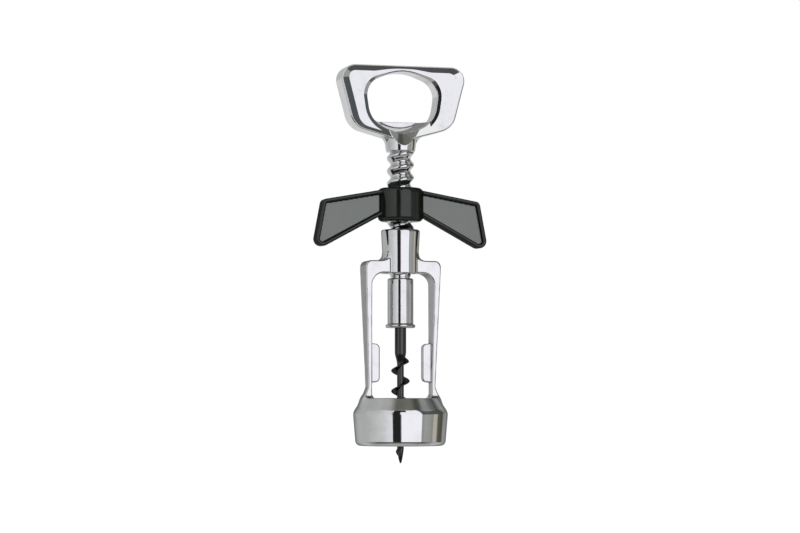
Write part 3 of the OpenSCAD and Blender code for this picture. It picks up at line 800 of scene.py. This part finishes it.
# Rows close together on the blade, and further apart on the core
near_blade = [0, 0.012, 0.024, 0.036, 0.047, 0.056, 0.064, 0.070, BLADE_SHARE]
shares = near_blade + [0.1, 0.16, 0.24, 0.33, 0.42, 0.5, 0.58, 0.67, 0.76, 0.84, 0.9]
shares += [1 - share for share in reversed(near_blade[1:])]
worm = wound(worm_radius, WORM_TIP, WORM_TOP, BLADE_PITCH, BLADE_PHASE, shares, WORM_COLUMNS)
put("worm_blade", worm, "spindle", "worm", steel, weld=True)


# Camera, fitted to the photograph: it stands to the left of the front, with its lengths in metres
CAMERA_TURN = math.radians(16)
CAMERA_AWAY = 1.092
CAMERA_HIGH = 0.02226
# Height that it looks at, its lens in millimetres, and a small swing that places the object
CAMERA_AIM = 0.0750
CAMERA_LENS = 117.36
CAMERA_SWING = 0.00017

camera_data = bpy.data.cameras.new("camera")
camera_data.sensor_fit = "HORIZONTAL"
camera_data.sensor_width = 36
camera_data.lens = CAMERA_LENS
camera_data.clip_start = 0.01
camera_data.clip_end = 20
camera = show("camera", camera_data)
camera.location = (-math.sin(CAMERA_TURN) * CAMERA_AWAY, -math.cos(CAMERA_TURN) * CAMERA_AWAY, CAMERA_HIGH)
tilt = math.atan2(CAMERA_AIM - CAMERA_HIGH, CAMERA_AWAY)
camera.rotation_euler = (math.pi / 2 + tilt, 0, CAMERA_SWING - CAMERA_TURN)
bpy.context.scene.camera = camera


# Studio: a white world whose reflections have a soft box, a dark gap beside it and a dim ceiling

# Strength of the reflected world, so that its colours stay under 1 on the ramps, and of the fill
MIRROR_LIGHT = 1.25
FILL_LIGHT = 0.75
# Directions to the right of the camera's view and towards the camera, both level
RIGHT = (math.cos(CAMERA_TURN), -math.sin(CAMERA_TURN), 0)
TOWARD = (-math.sin(CAMERA_TURN), -math.cos(CAMERA_TURN), 0)
UP = (0, 0, 1)

world = bpy.data.worlds.new("studio")
bpy.context.scene.world = world
world.use_nodes = True
sky = world.node_tree
sky.nodes.clear()
heading = add(sky, "ShaderNodeTexCoord").outputs["Generated"]


def dot(vector):
    """How far the heading points along a vector."""
    node = add(sky, "ShaderNodeVectorMath", operation="DOT_PRODUCT")
    node.inputs[1].default_value = vector
    sky.links.new(heading, node.inputs[0])
    return node.outputs["Value"]


bearing = add(sky, "ShaderNodeMath", operation="ARCTAN2")
sky.links.new(dot(RIGHT), bearing.inputs[0])
sky.links.new(dot(TOWARD), bearing.inputs[1])
turn_share = spread(sky, bearing.outputs[0], (-math.pi, math.pi))
height = dot(UP)


def shade(colour):
    """A reflected colour as a part of the mirror light, with grey given as one number."""
    parts = colour if isinstance(colour, tuple) else (colour, colour, colour)
    return tuple(part / MIRROR_LIGHT for part in parts)


def bands(stops):
    """Colours round the horizon, from stops (degrees right of the camera, colour)."""
    node = add(sky, "ShaderNodeValToRGB")
    elements = node.color_ramp.elements
    while len(elements) < len(stops):
        elements.new(0.5)
    for element, (degrees, colour) in zip(elements, stops):
        element.position = degrees / 360 + 0.5
        element.color = (*shade(colour), 1)
    sky.links.new(turn_share, node.inputs["Fac"])
    return node.outputs["Color"]


# The soft box from low to high, the dark gap at its left, and the wall beyond the gap
BOX = (1.18, 1.17, 1.235)
UPPER_BOX = (1.13, 1.125, 1.18)
HIGH_BOX = 1.15
GAP = 0.022
PALE_WALL = (0.88, 0.88, 0.92)

low_bands = bands([
    (-180, 0.70), (-120, 0.66), (-95, 0.40), (-65, 0.10), (65, 0.10), (95, 0.40), (120, 0.66), (180, 0.70)])
level_bands = bands([
    (-180, 0.85), (-150, 0.88), (-135, 0.72), (-110, 0.56), (-95, 0.54), (-66, 0.65), (-49, 0.74),
    (-33, PALE_WALL), (-19.5, (0.93, 0.93, 0.97)), (-18.5, GAP), (1, GAP), (3.5, BOX), (53.5, BOX),
    (56, (0.32, 0.33, 0.32)), (64, (0.42, 0.44, 0.40)), (75, 0.40), (88, (0.34, 0.32, 0.29)),
    (90, (0.58, 0.55, 0.49)), (102, (0.56, 0.53, 0.47)), (105, (0.147, 0.14, 0.097)),
    (124, (0.105, 0.10, 0.072)), (130, 0.44), (145, 0.70), (180, 0.85)])
upper_bands = bands([
    (-180, 0.62), (-145, 0.66), (-110, 0.52), (-60, 0.66), (-40, 0.82), (-23, PALE_WALL), (-17.5, GAP),
    (-1, GAP), (1.5, UPPER_BOX), (53, UPPER_BOX), (55.5, (0.085, 0.10, 0.105)),
    (70, (0.105, 0.12, 0.125)), (125, (0.09, 0.095, 0.085)), (134, 0.30), (145, 0.60), (180, 0.62)])
high_bands = bands([
    (-180, 0.29), (-150, 0.28), (-128, 0.50), (-85, 0.54), (-45, 0.80), (-20, 0.86), (-18.5, GAP),
    (15, GAP), (18, HIGH_BOX), (53, HIGH_BOX), (55.5, (0.125, 0.13, 0.115)), (66, (0.10, 0.11, 0.10)),
    (78, 0.32), (98, 0.34), (108, 0.20), (125, 0.12), (150, 0.20), (170, 0.29), (180, 0.29)])
top_bands = bands([
    (-180, 0.29), (-150, 0.27), (-110, 0.50), (-50, 0.50), (-38, 0.40), (-26, 0.24), (-8, 0.21),
    (6, 0.30), (30, (0.275, 0.28, 0.26)), (46, (0.20, 0.205, 0.18)), (57, (0.13, 0.13, 0.11)),
    (66, (0.085, 0.085, 0.07)), (82, (0.12, 0.12, 0.10)), (110, (0.11, 0.105, 0.08)), (150, 0.22),
    (180, 0.29)])
ceiling_left = shade((0.42, 0.42, 0.41))
ceiling_right = shade((0.16, 0.155, 0.125))
ceiling = mixed(sky, spread(sky, dot(RIGHT), (-0.30, -0.12)), ceiling_left, ceiling_right)

# From the ground up, each colour gives way to the next over its own heights, from -1 to 1
reflected = shade((0.46, 0.46, 0.45))
for heights, above in [
        ((-0.74, -0.70), low_bands), ((-0.31, -0.27), level_bands), ((0.0965, 0.1015), upper_bands),
        ((0.56, 0.60), high_bands), ((0.80, 0.84), top_bands), ((0.88, 0.93), ceiling)]:
    reflected = mixed(sky, spread(sky, height, heights), reflected, above)

# Mirrors see the bands, the camera sees white, and everything else gets an even fill
path = add(sky, "ShaderNodeLightPath")
mirror_light = add(sky, "ShaderNodeBackground", {"Strength": MIRROR_LIGHT})
sky.links.new(reflected, mirror_light.inputs["Color"])
white_view = add(sky, "ShaderNodeBackground", {"Color": (1, 1, 1, 1), "Strength": 1.0})
soft_fill = add(sky, "ShaderNodeBackground", {"Color": (1, 1, 1, 1), "Strength": FILL_LIGHT})


def choose(tree, factor, first, second):
    """The first shader where the factor is 0 and the second where it is 1."""
    node = add(tree, "ShaderNodeMixShader")
    tree.links.new(factor, node.inputs["Fac"])
    tree.links.new(first.outputs[0], node.inputs[1])
    tree.links.new(second.outputs[0], node.inputs[2])
    return node


seen = choose(sky, path.outputs["Is Camera Ray"], soft_fill, white_view)
studio = choose(sky, path.outputs["Is Glossy Ray"], seen, mirror_light)
sky.links.new(studio.outputs[0], add(sky, "ShaderNodeOutputWorld").inputs["Surface"])


# Floor, just under the worm's point. The camera sees it near white, with the object's shadow.
FLOOR_HALF = 4.0
FLOOR_Z = -0.0075
FLOOR_GLOW = 1.12
GLOW_SHARE = 0.85

floor_mesh = bpy.data.meshes.new("floor")
square = [(-1, -1), (1, -1), (1, 1), (-1, 1)]
corners = [(x * FLOOR_HALF, y * FLOOR_HALF, FLOOR_Z) for x, y in square]
floor_mesh.from_pydata(corners, [], [(0, 1, 2, 3)])
floor = show("floor", floor_mesh)
floor.visible_glossy = False
floor_paint = bpy.data.materials.new("floor")
floor_paint.use_nodes = True
paint = floor_paint.node_tree
paint.nodes.clear()
matt = add(paint, "ShaderNodeBsdfDiffuse", {"Color": (0.8, 0.8, 0.8, 1)})
glow = add(paint, "ShaderNodeEmission", {"Color": (1, 1, 1, 1), "Strength": FLOOR_GLOW})
eye = add(paint, "ShaderNodeLightPath")
veil = add(paint, "ShaderNodeMath", operation="MULTIPLY")
veil.inputs[1].default_value = GLOW_SHARE
paint.links.new(eye.outputs["Is Camera Ray"], veil.inputs[0])
veiled = choose(paint, veil.outputs[0], matt, glow)
paint.links.new(veiled.outputs[0], add(paint, "ShaderNodeOutputMaterial").inputs["Surface"])
floor_mesh.materials.append(floor_paint)

# One large soft lamp overhead, left out of the reflections
lamp_data = bpy.data.lights.new("lamp", "AREA")
lamp_data.shape = "RECTANGLE"
lamp_data.size = 1.6
lamp_data.size_y = 1.6
lamp_data.energy = 18
lamp = show("lamp", lamp_data)
lamp.location = (0.35, -0.9, 1.3)
lamp.rotation_euler = (math.radians(36), 0, math.radians(20))
lamp.visible_glossy = False

bpy.context.scene.view_settings.view_transform = "Standard"
